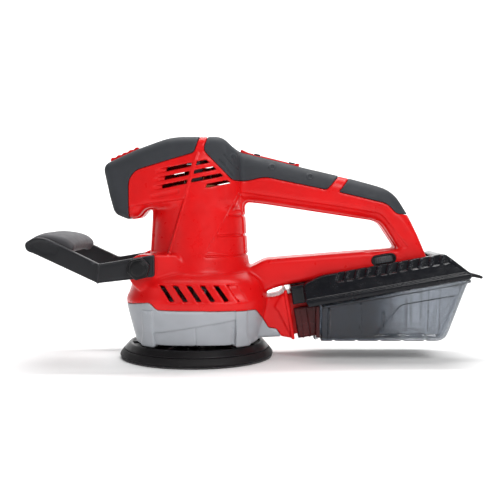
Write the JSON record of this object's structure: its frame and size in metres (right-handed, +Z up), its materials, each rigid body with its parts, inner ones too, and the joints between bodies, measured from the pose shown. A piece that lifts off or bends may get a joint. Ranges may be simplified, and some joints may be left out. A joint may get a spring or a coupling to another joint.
{
  "type": "random orbital sander",
  "caption": "Corded random orbital sander with a round pad, closed rear handle, adjustable front handle and removable filter box.",
  "frame": {"origin": "on the motor axis, in the plane of the sanding face, where the face meets the work", "axes": "+Z up along the motor axis, +X to the rear towards the filter box, -Y the side with the speed dial"},
  "size_m": [0.3613, 0.125, 0.1767],
  "materials": {
    "red_plastic": "satin",
    "soft_grip": "matt",
    "silver_plastic": "satin",
    "black_plastic": "satin",
    "hook_fabric": "matt",
    "pad_foam": "matt",
    "smoke_plastic": "clear smoke",
    "steel": "satin",
    "copper": "satin",
    "aluminium": "cast",
    "carbon": "matt",
    "circuit_board": "satin",
    "filter_paper": "matt"
  },
  "bodies": {
    "housing": {"bearing_plate": "aluminium", "brake_ring": "pad_foam", "brush_holder_left": "black_plastic", "brush_holder_right": "black_plastic", "carbon_brush_left": "carbon", "carbon_brush_right": "carbon", "cord_gland": "pad_foam", "dust_shroud": "silver_plastic", "field_coil_lower": "copper", "field_coil_upper": "copper", "front_grip_left": "soft_grip", "front_grip_right": "soft_grip", "heel_grip_left": "soft_grip", "heel_grip_right": "soft_grip", "housing_left": "red_plastic", "housing_right": "red_plastic", "housing_screw_1": "steel", "housing_screw_2": "steel", "housing_screw_3": "steel", "housing_screw_4": "steel", "housing_screw_5": "steel", "housing_screw_6": "steel", "lower_bearing": "steel", "nose_insert": "red_plastic", "rear_grip_left": "soft_grip", "rear_grip_right": "soft_grip", "speed_controller": "circuit_board", "stator_core": "steel", "switch_module": "black_plastic", "upper_bearing": "steel"},
    "rotor": {"motor_shaft": "steel", "armature_core": "steel", "armature_winding_upper": "copper", "armature_winding_lower": "copper", "commutator": "copper", "cooling_fan": "black_plastic", "extractor_fan": "aluminium", "eccentric_hub": "steel", "pad_bearing": "steel"},
    "pad": {"pad_spindle": "steel", "pad_plate": "black_plastic", "pad_foam": "pad_foam", "hook_face": "hook_fabric", "pad_screw_1": "steel", "pad_screw_2": "steel", "pad_screw_3": "steel", "pad_screw_4": "steel"},
    "handle": {"front_handle": "black_plastic", "front_handle_grip": "soft_grip"},
    "knob_left": {"clamp_knob_left": "black_plastic"},
    "knob_right": {"clamp_knob_right": "black_plastic"},
    "rocker": {"rocker_switch": "red_plastic"},
    "dial": {"speed_dial": "black_plastic"},
    "box": {"box_lid": "black_plastic", "inlet_sleeve": "smoke_plastic", "filter_cartridge": "filter_paper", "box_hinge_pin": "steel"},
    "bin": {"dust_bin": "smoke_plastic"},
    "latch": {"box_latch": "black_plastic"}
  },
  "joints": [
    {"name": "rotor_spin", "type": "hinge", "parent": "housing", "child": "rotor", "pos_m": [0, 0, 0.09], "axis": [0, 0, 1], "continuous": true},
    {"name": "pad_spin", "type": "hinge", "parent": "rotor", "child": "pad", "pos_m": [-0.00125, 0, 0.02], "axis": [0, 0, 1], "continuous": true},
    {"name": "front_handle_tilt", "type": "hinge", "parent": "housing", "child": "handle", "pos_m": [-0.0415, 0, 0.0752], "axis": [0, 1, 0], "range_deg": [-15, 30]},
    {"name": "clamp_knob_left_turn", "type": "hinge", "parent": "housing", "child": "knob_left", "pos_m": [-0.0415, -0.053, 0.0752], "axis": [0, -1, 0], "range_deg": [0, 360]},
    {"name": "clamp_knob_right_turn", "type": "hinge", "parent": "housing", "child": "knob_right", "pos_m": [-0.0415, 0.053, 0.0752], "axis": [0, 1, 0], "range_deg": [0, 360]},
    {"name": "power_rocker_tilt", "type": "hinge", "parent": "housing", "child": "rocker", "pos_m": [0.05754, 0, 0.1572], "axis": [0, 1, 0], "range_deg": [-3.5, 3.5]},
    {"name": "speed_dial_turn", "type": "hinge", "parent": "housing", "child": "dial", "pos_m": [0.149, -0.0078, 0.0799], "axis": [-0.165, 0, 0.9863], "range_deg": [-135, 135]},
    {"name": "filter_box_pull", "type": "slide", "parent": "housing", "child": "box", "axis": [0.9863, 0, 0.165], "range_m": [0, 0.024]},
    {"name": "dust_bin_drop", "type": "hinge", "parent": "box", "child": "bin", "pos_m": [0.0956, 0, 0.0172], "axis": [0, 1, 0], "range_deg": [0, 70]},
    {"name": "box_latch_lift", "type": "hinge", "parent": "box", "child": "latch", "pos_m": [0.2165, 0, 0.06712], "axis": [0, -1, 0], "range_deg": [0, 12], "stiffness_Nm_per_rad": 0.08}
  ]
}
